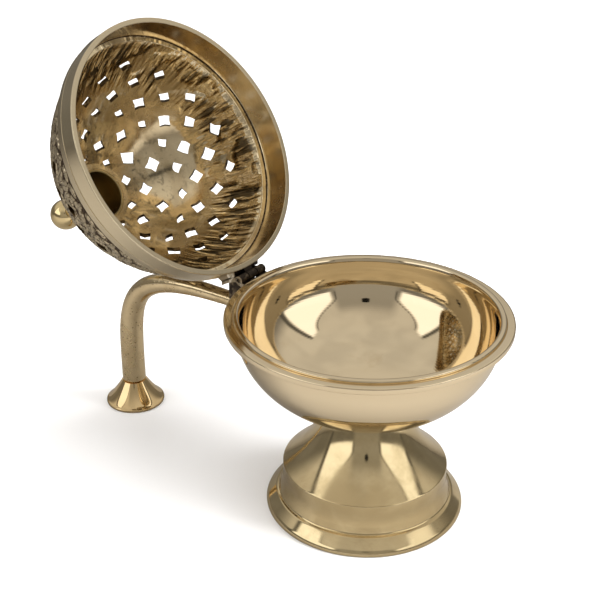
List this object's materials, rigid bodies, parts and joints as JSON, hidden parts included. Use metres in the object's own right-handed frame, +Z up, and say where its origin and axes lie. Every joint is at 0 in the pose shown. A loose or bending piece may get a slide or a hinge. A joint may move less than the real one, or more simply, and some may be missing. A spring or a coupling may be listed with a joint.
{
  "type": "footed incense burner with a hinged pierced lid",
  "caption": "Footed brass incense burner: a round bowl on a flared pedestal, a pierced dome hinged to its rim, and a curved handle that ends in a small foot.",
  "frame": {"origin": "centre of the pedestal's foot ring, on the surface it stands on", "axes": "+Z up, the handle and the hinge point along -X, +Y along the hinge pin"},
  "size_m": [0.2058, 0.1, 0.1617],
  "materials": {
    "polished_brass": "mirror polished, pale gold",
    "satin_brass": "cast and rubbed, satin with fine pits",
    "engraved_brass": "pale rubbed relief over dark brown recesses",
    "aged_brass": "dark and worn at the edges",
    "fastener_brass": "plain turned"
  },
  "bodies": {
    "base": {"bowl": "polished_brass", "pedestal": "polished_brass", "pedestal_stud": "fastener_brass", "pedestal_washer": "fastener_brass", "pedestal_nut": "fastener_brass", "handle": "satin_brass", "handle_ferrule": "polished_brass", "hinge_bracket": "aged_brass", "hinge_pin": "fastener_brass"},
    "lid": {"lid_dome": "engraved_brass", "hinge_strap": "aged_brass", "finial_cup": "polished_brass", "knob": "polished_brass", "knob_nut": "fastener_brass"}
  },
  "joints": [
    {"name": "lid_hinge", "type": "hinge", "parent": "base", "child": "lid", "pos_m": [-0.0522, 0, 0.0764], "axis": [0, 1, 0], "range_deg": [0, 122.9]}
  ]
}
